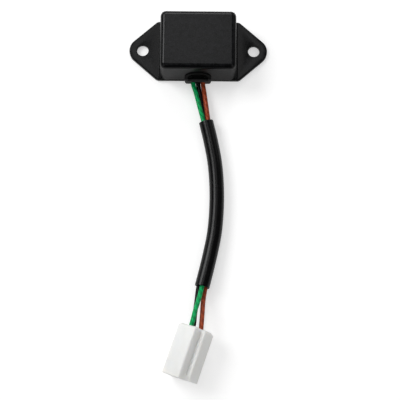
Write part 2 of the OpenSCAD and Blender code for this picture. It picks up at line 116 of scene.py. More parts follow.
class GrommetSizes(bpy.types.PropertyGroup):
    """Sizes of the rubber grommet."""

    width: length("Width", "Width of the outer face", 14.2)
    height: length("Height", "Height of the arch above the underside", 14.4)
    lip_out: length("Lip", "How far the lip stands out beyond the base plate", 1.6)
    lip_h: length("Lip height", "Height of the lip", 4.6)
    lip_corner_r: length("Lip corner", "Radius of the lip's upright corners", 1.3)
    lip_edge: length("Lip edge", "Round along the lip's upper and lower edges", 0.8)
    window_w: length("Window", "Width of the window over the wires", 10.8)
    window_top: length("Window top", "Height of the window's arch above the underside", 12.7)
    window_depth: length("Window depth", "Depth of the window into the hood's face", 1.8)
    window_sill: length("Window sill", "Rubber between a wire and the window's foot", 0.6)
    cheek_w: length("Cheek", "Width of the cheek at each side of the window", 2.4)
    cheek_h: length("Cheek height", "Height of a cheek above the window's foot", 2.8)
    cheek_back: length("Cheek set-back", "How far a cheek stands behind the hood's face", 0.7)
    soft_edge: length("Soft edge", "Round on the edges of the hood", 0.25)
    hood_out: length("Hood", "How far the hood stands out beyond the base plate", 0.3)
    flange_t: length("Flange", "Thickness of the flange inside the wall", 1.2)
    lap: length("Lap", "How far the flanges lap the notch", 1.2)
    foot: length("Foot", "Level of the flange's foot above the underside", 0.4)


class LeadSizes(bpy.types.PropertyGroup):
    """Sizes of the wires and their sleeve."""

    wire_d: length("Wire", "Diameter of a wire over its insulation", 2.4)
    exit_z: length("Exit height", "Height of the wires where they leave the grommet", 2)
    exit_step: length("Exit step", "Distance between the wires at the grommet", 2.65)
    bundle_r: length("Bundle", "Distance from the sleeve's middle to each wire", 1.5)
    twist: tilt("Twist", "Turn of the wires inside the sleeve", 60)
    sleeve_bore: length("Sleeve bore", "Bore of the sleeve", 6.5)
    sleeve_wall: length("Sleeve wall", "Wall of the sleeve", 0.6)


class ConnectorSizes(bpy.types.PropertyGroup):
    """Sizes of the T connector."""

    bar_w: length("Bar width", "Width of the two way bar", 16.6)
    bar_t: length("Bar thickness", "Thickness of the bar", 9)
    stem_w: length("Stem width", "Width of the one way stem", 10.8)
    stem_h: length("Stem height", "Height of the stem above the bar", 5.6)
    long: length("Length", "Length of the connector", 26.4)
    cavity_x: length("Cavity offset", "Distance from the middle to each cavity of the bar", 4.1)
    stem_cavity_z: length("Stem cavity", "Height of the stem's cavity above the bar", 2.8)
    cavity_w: length("Cavity width", "Width of a cavity, along its blade", 6.8)
    cavity_h: length("Cavity height", "Height of a cavity, across its blade", 3.6)
    slot_w: length("Slot width", "Width of a blade slot", 5.6)
    slot_h: length("Slot height", "Height of a blade slot", 2)
    front_wall: length("Front wall", "Thickness of the front wall, with its corner webs", 2.2)
    long_edge: length("Long edge", "Round along the long edges", 1)
    end_bevel: length("End bevel", "Bevel round the wire end", 1.2)
    fine_edge: length("Fine edge", "Round on every other edge", 0.14)
    turn: tilt("Turn", "Turn of the connector about Z", -18.5)
    roll: tilt("Roll", "Roll of the connector about its length", 30)


class Finishes(bpy.types.PropertyGroup):
    """Colours of the materials."""

    case: colour("Case", "Black moulded plastic", (0.0028, 0.0029, 0.0032))
    rubber: colour("Rubber", "Black rubber", (0.009, 0.009, 0.0092))
    vinyl: colour("Sleeve", "Black vinyl of the sleeve", (0.0025, 0.0025, 0.0027))
    green: colour("Green", "Insulation of the green wire", (0.002, 0.3, 0.085))
    black: colour("Black", "Insulation of the black wire", (0.0025, 0.0025, 0.0028))
    brown: colour("Brown", "Insulation of the brown wire", (0.29, 0.048, 0.016))
    nylon: colour("Nylon", "White nylon of the connector", (0.85, 0.848, 0.826))
    brass: colour("Brass", "Brass of the terminals", (0.72, 0.5, 0.2))
    resin: colour("Resin", "Potting resin", (0.008, 0.008, 0.009))
    floor: colour("Floor", "Pale floor", (0.95, 0.95, 0.95))


def maths(operation, swapped=False):
    """Method of a signal that adds a Math node."""

    def method(self, other):
        first, second = (other, self) if swapped else (self, other)
        return self.finish.add("Math", {0: first, 1: second}, operation=operation)

    return method


class Signal:
    """A node's output. Arithmetic on it adds Math nodes."""

    __add__, __radd__ = maths("ADD"), maths("ADD", swapped=True)
    __sub__, __rsub__ = maths("SUBTRACT"), maths("SUBTRACT", swapped=True)
    __mul__, __rmul__ = maths("MULTIPLY"), maths("MULTIPLY", swapped=True)
    __gt__, __lt__ = maths("GREATER_THAN"), maths("LESS_THAN")

    def __init__(self, finish, socket):
        self.finish = finish
        self.socket = socket


class Finish:
    """A material or world that is being built."""

    def __init__(self, name, holder=None):
        self.holder = holder or bpy.data.materials.new(name)
        self.holder.use_nodes = True
        self.tree = self.holder.node_tree
        self.tree.nodes.clear()

    def add(self, kind, sockets=None, out=0, stops=None, **settings):
        """Adds a node: its settings and ramp stops, then the values or links of its sockets."""
        node = self.tree.nodes.new("ShaderNode" + kind)
        for name, value in settings.items():
            setattr(node, name, value)
        for i, (place, value) in enumerate(stops or ()):
            stop = node.color_ramp.elements[i] if i < 2 else node.color_ramp.elements.new(place)
            stop.position = place
            stop.color = (*value, 1)
        for name, value in (sockets or {}).items():
            if isinstance(value, Signal):
                self.tree.links.new(value.socket, node.inputs[name])
            else:
                node.inputs[name].default_value = value
        return Signal(self, node.outputs[out]) if node.outputs else None

    def place(self, scale=(1, 1, 1)):
        """The point on the piece in metres, stretched by a scale."""
        point = self.add("TexCoord", out="Object")
        return self.add("Mapping", {"Vector": point, "Scale": scale})

    def noise(self, point, per_metre, detail=2.0, roughness=0.5):
        """Cloudy pattern from 0 to 1 with that many blobs in a metre."""
        sockets = {"Vector": point, "Scale": per_metre, "Detail": detail, "Roughness": roughness}
        return self.add("TexNoise", sockets)

    def axis(self, point, name):
        """One coordinate of a point."""
        return self.add("SeparateXYZ", {"Vector": point}, out=name)

    def ramp(self, value, black, white):
        """Black up to one value, white from another, and even between them."""
        stops = [(black, (0, 0, 0)), (white, (1, 1, 1))]
        return self.add("ValToRGB", {"Fac": value}, stops=stops)

    def ease(self, value, start, end):
        """0 up to one value, 1 from another, and eased between them."""
        sockets = {"Value": value, "From Min": start, "From Max": end}
        return self.add("MapRange", sockets, interpolation_type="SMOOTHSTEP")

    def ray(self, *kinds):
        """1 for rays of any of these kinds, and 0 for the rest."""
        found = [self.add("LightPath", out=f"Is {kind} Ray") for kind in kinds]
        return sum(found[1:], found[0])

    def blend(self, amount, first, second):
        """Colour between two colours."""
        sockets = {0: amount, 6: _rgba(first), 7: _rgba(second)}
        return self.add("Mix", sockets, out=2, data_type="RGBA")

    def shade(self, amount, base, low, high):
        """Colour between two multiples of one colour."""
        return self.blend(amount, darker(base, low), darker(base, high))

    def bump(self, height, depth, strength=1.0, below=None):
        """Normal that follows a height pattern, depth in metres."""
        sockets = {"Height": height, "Distance": depth, "Strength": strength}
        if below is not None:
            sockets["Normal"] = below
        return self.add("Bump", sockets)

    def surface(self, **sockets):
        """Principled shader on the surface, its sockets named with underscores for spaces."""
        named = {name.replace("_", " "): value for name, value in sockets.items()}
        shader = self.add("BsdfPrincipled", named)
        self.add("OutputMaterial", {"Surface": shader})
        return self.holder


def _rgba(value):
    """A colour with its alpha, or a link as it is."""
    return value if isinstance(value, Signal) else (*value, 1)


def darker(value, factor):
    """A colour times a factor."""
    return tuple(min(1, c * factor) for c in value)


# Where the case is lighter in clouds: the roof above one height, and the ears below another,
# where the lightening begins and is full at these distances from the middle; the ears nearer
# the case stay darker, as painted shade from the case
ROOF_LIGHTER_ABOVE = 20.7 * MM
EAR_LIGHTER_BELOW = 2.8 * MM
EAR_SHADE_FADES_FROM = 22 * MM
EAR_SHADE_GONE_AT = 28 * MM
# Heights between which the walls are matt
WALL_FOOT = 3.1 * MM
WALL_TOP = 18.3 * MM
DUST = (0.09, 0.09, 0.09)


def case_plastic(base):
    """Black plastic: matt walls, shiny edges, lightly dusted, roof lighter in clouds, ears
    painted with shade near the case.
    """
    f = Finish("case_plastic")
    point = f.place()
    cloud = f.noise(point, 380, 4, 0.6)
    grain = f.noise(point, 3600, 2, 0.6)
    dust = f.ramp(f.noise(point, 900, 5, 0.75), 0.6, 0.78)
    up = f.axis(point, "Z")
    aside = f.add("Math", {0: f.axis(point, "X")}, operation="ABSOLUTE")
    # Ears away from the case are lightened and ears near it are not: painted shade from the case
    outer = f.ease(aside, EAR_SHADE_FADES_FROM, EAR_SHADE_GONE_AT)
    lighter_roof_and_ears = (up > ROOF_LIGHTER_ABOVE) + (up < EAR_LIGHTER_BELOW) * outer
    lightening = f.ramp(cloud, 0.36, 0.66) * lighter_roof_and_ears
    wall = (up > WALL_FOOT) * (up < WALL_TOP)
    plain = f.shade(cloud, base, 0.3, 1.5)
    # Lighter in clouds on the roof and outer ears; darker ears near the case are painted shade
    lightened = f.blend(lightening, plain, darker(base, 3.1))
    return f.surface(
        Base_Color=f.blend(dust * 0.1, lightened, DUST),
        Roughness=0.13 + 0.12 * cloud + 0.1 * dust + 0.22 * wall,
        IOR=1.33,
        Specular_IOR_Level=0.3,
        Normal=f.bump(cloud, 0.1 * MM, 0.5, f.bump(grain, 0.012 * MM, 0.6)),
    )


# The grommet's lip lies below this height and in front of this place; its greyer colour is
# painted light, and the darker hood above it is painted shade
PAINTED_LIP_BELOW = 4.7 * MM
PAINTED_LIP_BEFORE = -16.7 * MM


def grommet_rubber(base):
    """Soft black rubber with a faint bloom, dull hood painted darker as painted shade, lip
    painted greyer as painted light.
    """
    f = Finish("grommet_rubber")
    point = f.place()
    # Mask of the lip, which is painted lighter as painted light; the rest, the hood, is painted
    # darker as painted shade
    painted_lit_lip = (f.axis(point, "Z") < PAINTED_LIP_BELOW) * (f.axis(point, "Y") < PAINTED_LIP_BEFORE)
    bloom = f.noise(point, 700, 4, 0.65)
    grain = f.noise(point, 5200, 2, 0.5)
    return f.surface(
        # Dark hood colour is painted shade; the much lighter lip colour is painted light on a
        # shaded lip
        Base_Color=f.blend(painted_lit_lip, f.shade(bloom, base, 0.3, 0.6), f.shade(bloom, base, 3.8, 7.6)),
        Roughness=0.72 - 0.25 * painted_lit_lip + 0.16 * bloom,
        IOR=1.25,
        Specular_IOR_Level=0.3,
        Normal=f.bump(grain, 0.01 * MM, 0.5),
    )


def wire_insulation(name, base):
    """Extruded vinyl over twisted strands, with a slight sheen and painted glints along the lay.
    """
    f = Finish("insulation_" + name)
    point = f.place()
    tone = f.noise(point, 420, 3, 0.55)
    lay_and_glints = f.add(
        "TexWave", {"Vector": point, "Scale": 230.0, "Distortion": 1.2, "Detail": 1.0},
        bands_direction="DIAGONAL",
    )
    return f.surface(
        # Colour lighter and darker along the diagonal lay: painted glints
        Base_Color=f.shade(0.7 * lay_and_glints + 0.3 * tone, base, 0.55, 1.35),
        Roughness=0.3 + 0.14 * tone,
        IOR=1.4,
        Specular_IOR_Level=0.25,
        Normal=f.bump(lay_and_glints, 0.07 * MM, 0.6),
    )


def sleeve_vinyl(base):
    """Thin black vinyl tube with draw lines along it and soft dents."""
    f = Finish("sleeve_vinyl")
    point = f.place()
    tone = f.noise(point, 180, 3, 0.6)
    draw = f.noise(f.place((1, 0.03, 1)), 3000, 2, 0.5)
    return f.surface(
        Base_Color=f.shade(tone, base, 0.8, 1.25),
        Roughness=0.2 + 0.12 * tone,
        IOR=1.4,
        Specular_IOR_Level=0.3,
        Normal=f.bump(tone, 0.12 * MM, 0.25, f.bump(draw, 0.02 * MM, 0.3)),
    )


def connector_nylon(base):
    """White nylon, slightly translucent, with flow marks."""
    f = Finish("connector_nylon")
    point = f.place()
    flow = f.noise(f.place((1, 0.35, 1)), 320, 4, 0.6)
    grain = f.noise(point, 3000, 2, 0.5)
    return f.surface(
        Base_Color=f.shade(flow, base, 0.95, 1.03),
        Roughness=0.38 + 0.14 * flow,
        IOR=1.53,
        Subsurface_Weight=0.4,
        Subsurface_Radius=(3 * MM, 2.6 * MM, 2.2 * MM),
        Subsurface_Scale=1.0,
        Normal=f.bump(flow, 0.04 * MM, 0.3, f.bump(grain, 0.008 * MM, 0.5)),
    )


def bright_metal(name, base, low=0.24, high=0.42):
    """Stamped or tinned metal with rolling lines and a dulled bloom."""
    f = Finish(name)
    point = f.place()
    tarnish = f.noise(point, 650, 5, 0.65)
    rolled = f.noise(f.place((1, 0.08, 1)), 5000, 2, 0.5)
    return f.surface(
        Base_Color=f.shade(tarnish, base, 0.72, 1.1),
        Metallic=1.0,
        Roughness=low + (high - low) * tarnish,
        Normal=f.bump(rolled, 0.01 * MM, 0.4),
    )


def potting_resin(base):
    """Poured resin: glossy, gently rippled, with pinholes."""
    f = Finish("potting_resin")
    point = f.place()
    ripple = f.noise(point, 90, 2, 0.5)
    holes = f.add("TexVoronoi", {"Vector": point, "Scale": 330.0, "Randomness": 1.0})
    pinhole = f.ramp(holes, 0.06, 0.16)
    return f.surface(
        Base_Color=f.shade(ripple, base, 0.7, 1.6),
        Roughness=0.16 + 0.2 * ripple,
        IOR=1.5,
        Normal=f.bump(pinhole * 0.4 + ripple, 0.35 * MM, 0.5),
    )


def board_laminate():
    """Green glass laminate with its weave."""
    f = Finish("board_laminate")
    point = f.place()
    weave = f.add("TexChecker", {"Vector": point, "Scale": 2600.0}, out="Fac")
    tone = f.noise(point, 500, 3, 0.6)
    return f.surface(
        Base_Color=f.blend(tone, (0.02, 0.11, 0.025), (0.035, 0.17, 0.04)),
        Roughness=0.34 + 0.12 * tone,
        Normal=f.bump(weave, 0.01 * MM, 0.3),
    )


# Below this height a part on the board is only its tinned leads
LEAD_TOP = 11.2 * MM
TINNED = (0.62, 0.62, 0.6)
TAN = (0.45, 0.34, 0.2)
# Along which axis the bands of a resistor follow each other, where they start, how far
# they run, and their colours: red, black, orange and gold on tan
BANDS = {
    "along": "X",
    "start": -1.8 * MM,
    "run": 6.4 * MM,
    "colours": [
        TAN, (0.3, 0.05, 0.02), TAN, (0.02, 0.02, 0.02),
        TAN, (0.5, 0.16, 0.02), TAN, (0.5, 0.36, 0.08),
    ],
}


def leaded_part(name, base, low=0.3, high=0.45, bands=None):
    """Body of a part on the board, tinned leads below it, and bands across it if it has any."""
    f = Finish(name)
    point = f.place()
    cloud = f.noise(point, 900, 3, 0.6)
    tinned = f.axis(point, "Z") < LEAD_TOP
    body = f.shade(cloud, base, 0.8, 1.2)
    if bands:
        along = (f.axis(point, bands["along"]) - bands["start"]) * (1 / bands["run"])
        stops = [(i / len(bands["colours"]), c) for i, c in enumerate(bands["colours"])]
        stripes = f.add("ValToRGB", {"Fac": along}, stops=stops)
        stripes.socket.node.color_ramp.interpolation = "CONSTANT"
        body = f.blend(0.9, body, stripes)
    return f.surface(
        Base_Color=f.blend(tinned, body, TINNED),
        Metallic=tinned,
        Roughness=low + (high - low) * cloud,
        Normal=f.bump(cloud, 0.03 * MM, 0.3),
    )


def studio_floor(base):
    """Pale floor that the camera sees lit up, shadow kept, and all white far from the object."""
    f = Finish("studio_floor")
    point = f.place()
    reach = f.add("VectorMath", {0: point, 1: AIM}, out="Value", operation="DISTANCE")
    share = FLOOR_SHARE + (1 - FLOOR_SHARE) * f.ease(reach, *FLOOR_WHITE)
    seen = share * f.ray("Camera", "Transmission") + FLOOR_MIRRORED * f.ray("Glossy")
    grain = f.noise(point, 60, 3, 0.5)
    tone = f.shade(grain, base, 0.995, 1.005)
    matt = f.add("BsdfDiffuse", {"Color": tone})
    glow = f.add("Emission", {"Color": WHITE, "Strength": FLOOR_GLOW})
    mixed = f.add("MixShader", {0: seen, 1: matt, 2: glow})
    f.add("OutputMaterial", {"Surface": mixed})
    return f.holder


def studio_world():
    """Even room light and a white backdrop; surfaces reflect its foot and soft panels."""
    f = Finish("studio", bpy.data.worlds.new("studio"))
    way = f.add("TexCoord", out="Generated")
    mirrored = ROOM_DARK + (f.axis(way, "Z") < BACKDROP_TOP)
    for towards, full, gone, strength in PANELS:
        sockets = {0: way, 1: Vector(towards).normalized()}
        near = f.add("VectorMath", sockets, out="Value", operation="DOT_PRODUCT")
        panel = f.ease(near, cos(radians(gone)), cos(radians(full)))
        mirrored = strength * panel + mirrored
    tone = f.blend(f.ray("Glossy"), (ROOM_LIGHT,) * 3, mirrored)
    room = f.add("Background", {"Color": tone})
    backdrop = f.add("Background", {"Color": WHITE})
    seen = f.ray("Camera", "Transmission")
    mixed = f.add("MixShader", {0: seen, 1: room, 2: backdrop})
    f.add("OutputWorld", {"Surface": mixed})
    return f.holder


def leave_edit():
    """Back to object mode with nothing selected."""
    if bpy.context.object and bpy.context.object.mode != "OBJECT":
        bpy.ops.object.mode_set(mode="OBJECT")
    bpy.ops.object.select_all(action="DESELECT")


def work_on(piece):
    """Makes a piece the only selected one, and active."""
    leave_edit()
    piece.select_set(True)
    bpy.context.view_layer.objects.active = piece


def settle():
    """Writes the active piece's place into its mesh."""
    bpy.ops.object.transform_apply(location=True, rotation=True, scale=True)
    return bpy.context.object


def lie(piece, place):
    """Moves and turns a piece by a matrix that goes into its mesh."""
    piece.matrix_world = place
    work_on(piece)
    settle()


def block(near, far):
    """Box between two opposite corners."""
    leave_edit()
    low, high = Vector(map(min, near, far)), Vector(map(max, near, far))
    bpy.ops.mesh.primitive_cube_add(size=1, location=(low + high) / 2, scale=high - low)
    return settle()


def rod(middle, long, radius, sides, turn=pi / 2):
    """Round rod along Y, or upright with no turn."""
    leave_edit()
    bpy.ops.mesh.primitive_cylinder_add(
        vertices=sides, radius=radius, depth=long, location=middle, rotation=(turn, 0, 0)
    )
    return settle()


def post(x, y, low, high, radius, sides=96):
    """Upright round post."""
    return rod((x, y, (low + high) / 2), high - low, radius, sides, turn=0)


def wrap(pieces):
    """Convex skin round several pieces, its flat faces made whole."""
    work_on(pieces[0])
    for piece in pieces[1:]:
        piece.select_set(True)
    bpy.ops.object.join()
    bpy.ops.object.mode_set(mode="EDIT")
    bpy.ops.mesh.select_all(action="SELECT")
    bpy.ops.mesh.convex_hull(join_triangles=False)
    bpy.ops.mesh.select_all(action="SELECT")
    bpy.ops.mesh.dissolve_limited(angle_limit=FLAT)
    bpy.ops.object.mode_set(mode="OBJECT")
    return bpy.context.object


def pick(piece, kind, test):
    """Goes into edit mode and selects the edges or faces that pass a test."""
    work_on(piece)
    bpy.ops.object.mode_set(mode="EDIT")
    bpy.ops.mesh.select_mode(type=kind)
    bpy.ops.mesh.select_all(action="DESELECT")
    form = bmesh.from_edit_mesh(piece.data)
    for item in form.edges if kind == "EDGE" else form.faces:
        item.select_set(bool(test(item)))
    form.select_flush_mode()
    bmesh.update_edit_mesh(piece.data)


def round_edges(piece, test, radius, segments):
    """Rounds the edges that pass a test."""
    pick(piece, "EDGE", test)
    bpy.ops.mesh.bevel(offset=radius, segments=segments, affect="EDGES", clamp_overlap=True)
    leave_edit()


def rim(edge, axis, place):
    """Whether an edge lies in the plane across an axis at a place."""
    return all(abs(v.co[axis] - place) < SAME for v in edge.verts)


def level(edge, z):
    """Whether an edge lies at a height."""
    return rim(edge, Z, z)


def runs_along(edge, axis):
    """Whether an edge runs along an axis, or nearly so."""
    return abs((edge.verts[1].co - edge.verts[0].co).normalized()[axis]) > ALONG


def facing(axis):
    """Test for the faces that look along an axis."""
    return lambda face: face.normal[axis] > ALONG


def narrow(share, middle):
    """Scales the selection about a point, by a share on each axis."""
    bpy.ops.transform.resize(value=share, center_override=middle)
    leave_edit()


def modify(piece, kind, **settings):
    """Applies a modifier with these settings to a piece."""
    work_on(piece)
    bpy.ops.object.modifier_add(type=kind)
    change = piece.modifiers[-1]
    for name, value in settings.items():
        setattr(change, name, value)
    bpy.ops.object.modifier_apply(modifier=change.name)


def combine(piece, tool, operation="DIFFERENCE"):
    """Cuts a piece with a tool, or joins the tool to it, and removes the tool."""
    modify(piece, "BOOLEAN", operation=operation, solver="EXACT", object=tool)
    bpy.data.objects.remove(tool)
    return piece


def finish_mesh(piece, name, angle=35):
    """Names a piece, merges doubles, faces it outwards and shades it smooth up to an angle."""
    work_on(piece)
    bpy.ops.object.mode_set(mode="EDIT")
    bpy.ops.mesh.select_all(action="SELECT")
    bpy.ops.mesh.remove_doubles(threshold=SAME)
    bpy.ops.mesh.normals_make_consistent(inside=False)
    bpy.ops.object.mode_set(mode="OBJECT")
    bpy.ops.object.shade_smooth_by_angle(angle=radians(angle))
    piece.name = name
    piece.data.name = name
    return piece


def coat(piece, material):
    """Gives a piece its one material."""
    piece.data.materials.clear()
    piece.data.materials.append(material)


def seat(piece, node, material):
    """Puts a finished piece in the place of its solid."""
    coat(piece, material)
    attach(piece, "root")
    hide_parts(node)


def arch(width, top, y0, y1, foot=0.0):
    """Slab from y0 to y1 with an arched top, cut level at its foot."""
    spring = top - width / 2
    legs_top = max(spring, foot + 0.1 * MM)
    legs = block((-width / 2, y0, foot), (width / 2, y1, legs_top))
    crown = rod((0, (y0 + y1) / 2, spring), y1 - y0, width / 2, 64)
    if spring - width / 2 < foot:
        pick(crown, "FACE", lambda face: True)
        bpy.ops.mesh.bisect(
            plane_co=(0, 0, foot), plane_no=(0, 0, 1), use_fill=True, clear_inner=True
        )
        leave_edit()
    return wrap([legs, crown])


def tapered_box(width, depth, low, high, inset, corner, segments):
    """Box with round upright corners that narrows by an inset at the top."""
    box = block((-width / 2, -depth / 2, low), (width / 2, depth / 2, high))
    pick(box, "FACE", facing(Z))
    narrow((1 - 2 * inset / width, 1 - 2 * inset / depth, 1), (0, 0, high))
    round_edges(box, lambda e: runs_along(e, Z), corner, segments)
    return box


def model_case(scene):
    """One piece moulding: plate with ears, raised pad, drafted case, cavity and notch."""
    s, grommet = scene.regulator_case, scene.regulator_grommet
    pad_top = s.ear_t + s.pad_t
    roof_z = s.height - s.roof
    lean = tan(s.draft)

    corner_x = s.base_flat / 2
    corner_y = s.base_d / 2 - s.base_corner_r
    posts = [post(x * s.hole_pitch / 2, 0, 0, s.ear_t, s.ear_r) for x in SIDES]
    posts += [
        post(x * corner_x, y * corner_y, 0, s.ear_t, s.base_corner_r, 64)
        for x in SIDES
        for y in SIDES
    ]
    plate = wrap(posts)
    round_edges(plate, lambda e: level(e, s.ear_t), s.ear_edge, 4)
    round_edges(plate, lambda e: level(e, 0), s.pad_edge / 2, 2)

    pad_x = s.width / 2 + s.pad_margin
    pad_y = s.base_d / 2 - s.ear_edge
    pad = block((-pad_x, -pad_y, s.ear_t / 2), (pad_x, pad_y, pad_top))
    round_edges(pad, lambda e: runs_along(e, Z), 3 * s.pad_edge, 5)
    round_edges(pad, lambda e: level(e, pad_top), s.pad_edge, 3)

    # The walls lean by the draft up to where the round of the top edge begins
    round_z = s.height - s.edge_r
    top_inset = (round_z - pad_top) * lean * ((s.height - s.ear_t) / (round_z - s.ear_t))
    shell = tapered_box(s.width, s.depth, s.ear_t / 2, s.height, top_inset, s.corner_r, 14)
    round_edges(shell, lambda e: level(e, s.height), s.edge_r, 12)

    case = combine(plate, pad, "UNION")
    combine(case, shell, "UNION")

    inner_w = s.width - 2 * s.wall
    inner_d = s.depth - 2 * s.wall
    cavity_inset = (roof_z - pad_top) * lean
    combine(case, tapered_box(inner_w, inner_d, -OVER, roof_z, cavity_inset, s.cavity_r, 6))
    notch_top = grommet.height - grommet.lap
    combine(case, arch(s.notch_w, notch_top, -s.base_d / 2 - OVER, -inner_d / 2 + OVER, -OVER))
    reach_x, reach_y = inner_w / 2 - cavity_inset, inner_d / 2 - cavity_inset
    for x in SIDES:
        for y in SIDES:
            near = (x * (reach_x - s.pillar_w), y * (reach_y - s.pillar_w), s.board_top)
            far = (x * (reach_x + s.wall / 2), y * (reach_y + s.wall / 2), roof_z + s.roof / 2)
            combine(case, block(near, far), "UNION")
        combine(case, post(x * s.hole_pitch / 2, 0, -OVER, s.ear_t + OVER, s.hole_d / 2))

    def hole_rim(edge):
        """Whether an edge lies on either end of a fixing hole."""
        off = min(
            abs((v.co - Vector((x * s.hole_pitch / 2, 0, v.co.z))).length - s.hole_d / 2)
            for v in edge.verts
            for x in SIDES
        )
        return off < 10 * SAME and (level(edge, 0) or level(edge, s.ear_t))

    round_edges(case, hole_rim, s.hole_rim, 4)
    finish_mesh(case, "moulded_case")
    seat(case, "housing", case_plastic(scene.regulator_finishes.case))


# Room round a wire in the grommet's slot
WIRE_ROOM = 0.05 * MM


def fronts(scene):
    """Where the base plate's front edge and the front wall's inner face stand."""
    case = scene.regulator_case
    return -case.base_d / 2, -(case.depth / 2 - case.wall)


def model_grommet(scene):
    """Rubber grommet: hood and lip outside, neck in the notch, flange inside, wire slot."""
    s, case, lead = scene.regulator_grommet, scene.regulator_case, scene.regulator_lead
    front, inner = fronts(scene)
    lip_front = front - s.lip_out
    face = front - s.hood_out
    skin = arch(s.width, s.height, face, inner + 10 * SAME)
    round_edges(skin, lambda e: rim(e, Y, face) and not level(e, 0), s.soft_edge, 4)

    lip_back = front + case.ear_edge
    lip = block((-s.width / 2, lip_front, 0), (s.width / 2, lip_back, s.lip_h))
    round_edges(lip, lambda e: runs_along(e, Z) and e.verts[0].co.y < front, s.lip_corner_r, 10)
    for height in (0, s.lip_h):
        round_edges(lip, lambda e: level(e, height) and not rim(e, Y, lip_back), s.lip_edge, 6)
    combine(skin, lip, "UNION")
    foot = lead.exit_z + lead.wire_d / 2 + s.window_sill
    window = arch(s.window_w, s.window_top, face - OVER, face + s.window_depth, foot)
    inside = s.window_w / 2 - s.cheek_w
    for x in SIDES:
        cheek = block(
            (x * inside, face + s.cheek_back, foot - OVER),
            (x * (s.window_w / 2 + OVER), face + s.window_depth + OVER, foot + s.cheek_h),
        )
        round_edges(cheek, lambda e: True, s.soft_edge, 3)
        combine(window, cheek)
    combine(skin, window)
    combine(skin, block((-inside, lip_front - OVER, foot), (inside, face + OVER, s.lip_h + OVER)))
    flange_w = case.notch_w + 2 * s.lap
    combine(skin, arch(flange_w, s.height, inner, inner + s.flange_t, s.foot), "UNION")

    # The case is cut out of the rubber, so that the neck fills the notch
    work_on(bpy.data.objects["moulded_case"])
    bpy.ops.object.duplicate(linked=False)
    wall = bpy.context.object
    wall.parent = None
    combine(skin, wall)

    radius = lead.wire_d / 2 + WIRE_ROOM
    y0, y1 = lip_front - OVER, inner + s.flange_t + OVER
    slot = block(
        (-lead.exit_step, y0, lead.exit_z - radius), (lead.exit_step, y1, lead.exit_z + radius)
    )
    for x in (-1, 0, 1):
        middle = (x * lead.exit_step, (y1 + y0) / 2, lead.exit_z)
        combine(slot, rod(middle, y1 - y0, radius, 40), "UNION")
    combine(skin, slot)
    finish_mesh(skin, "rubber_grommet")
    seat(skin, "grommet", grommet_rubber(scene.regulator_finishes.rubber))


# The lead's way, in millimetres and degrees: points on each wire between the grommet and
# the sleeve, and between the sleeve and the connector
FREE_MID = {
    "green": [(-0.95, -24.25, 3.2), (1.05, -32.2, 4.2)],
    "black": [(1.25, -24.25, 1.7), (2.85, -32.2, 1.6)],
    "brown": [(3.55, -24.25, 3), (4.65, -32.2, 4)],
}
TAIL_MID = {
    "green": [(1.65, -134.7, 9), (-0.25, -141.4, 12.1)],
    "black": [(0.55, -134.9, 4.5), (-0.35, -141.9, 4.3)],
    "brown": [(3.85, -135.4, 6.1), (3.35, -143.1, 9.2)],
}
# Points along the sleeve's middle
SLEEVE_ROUTE = [
    (4.55, -40.2, 3.9), (7.05, -50.65, 3.9), (9.3, -62.6, 3.9),
    (10.35, -75.05, 3.9), (10.35, -87.5, 3.9), (9.4, -99.5, 3.9),
    (7.6, -109.45, 4.2), (5.35, -119.45, 4.9), (3.15, -128.4, 5.6),
]
# Each wire's place on the board, and the height of the board's underside
WIRE_PAD = {"green": (-4.2, -8.65), "black": (0, -8.65), "brown": (4.2, -8.65)}
BOARD_Z = 9.2
# A wire drops straight from the board, then crosses to its place in the grommet, a little
# inside the flange. Each point on the way has its share of the step across, its way
# forward and its height above the exit
WIRE_DROP = 2.6
HEAD = ((0.2, 0.9, 2.1), (0.6, 2.6, 0.5))
FLANGE_LEAD = 0.4
# Each wire's angle about the sleeve's middle, its step aside towards the sleeve's end
# from a share of the length on, and how far the wires sink at the sleeve's start
BUNDLE_ANGLE = {"green": 150, "black": 270, "brown": 30}
BUNDLE_SPREAD = {"green": 0, "black": -0.45, "brown": 0.45}
BUNDLE_SINK = 0.45
SPREAD_FROM = 0.8
# Each wire's shift from the middle of its cavity where it enters, half the length over
# which it comes back, and the depth at which it ends
ENTRY_SHIFT = {"green": (0.7, 0), "black": (0.5, -2), "brown": (-0.5, 2)}
ENTRY_LEAD = 3.5
WIRE_END = 10.9
# Where the middle of the connector's wire end lies
CONNECTOR_AT = (2.95, -150.55)
# Spacing of the points on each curve
WIRE_STEP = 0.7 * MM
SLEEVE_STEP = 0.8 * MM
# The edges of the sleeve's cut ends are sharper than this many degrees, and are rounded
SLEEVE_ANGLE = 60
SLEEVE_EDGE = 0.12 * MM


def metres(points):
    """Points in millimetres as vectors in metres."""
    return [Vector(p) * MM for p in points]


def heading(path, i):
    """Direction of a route at one of its points."""
    return (path[min(i + 1, len(path) - 1)] - path[max(i - 1, 0)]).normalized()


def smooth(path, step):
    """Points about a step apart on one smooth curve through a route's points."""
    dense = []
    for i in range(len(path) - 1):
        a, b = path[i], path[i + 1]
        gap = (b - a).length
        steps = max(2, ceil(gap / step))
        for k in range(steps):
            u = k / steps
            dense.append(
                a * (2 * u**3 - 3 * u**2 + 1)
                + heading(path, i) * gap * (u**3 - 2 * u**2 + u)
                + b * (3 * u**2 - 2 * u**3)
                + heading(path, i + 1) * gap * (u**3 - u**2)
            )
    return [*dense, path[-1]]


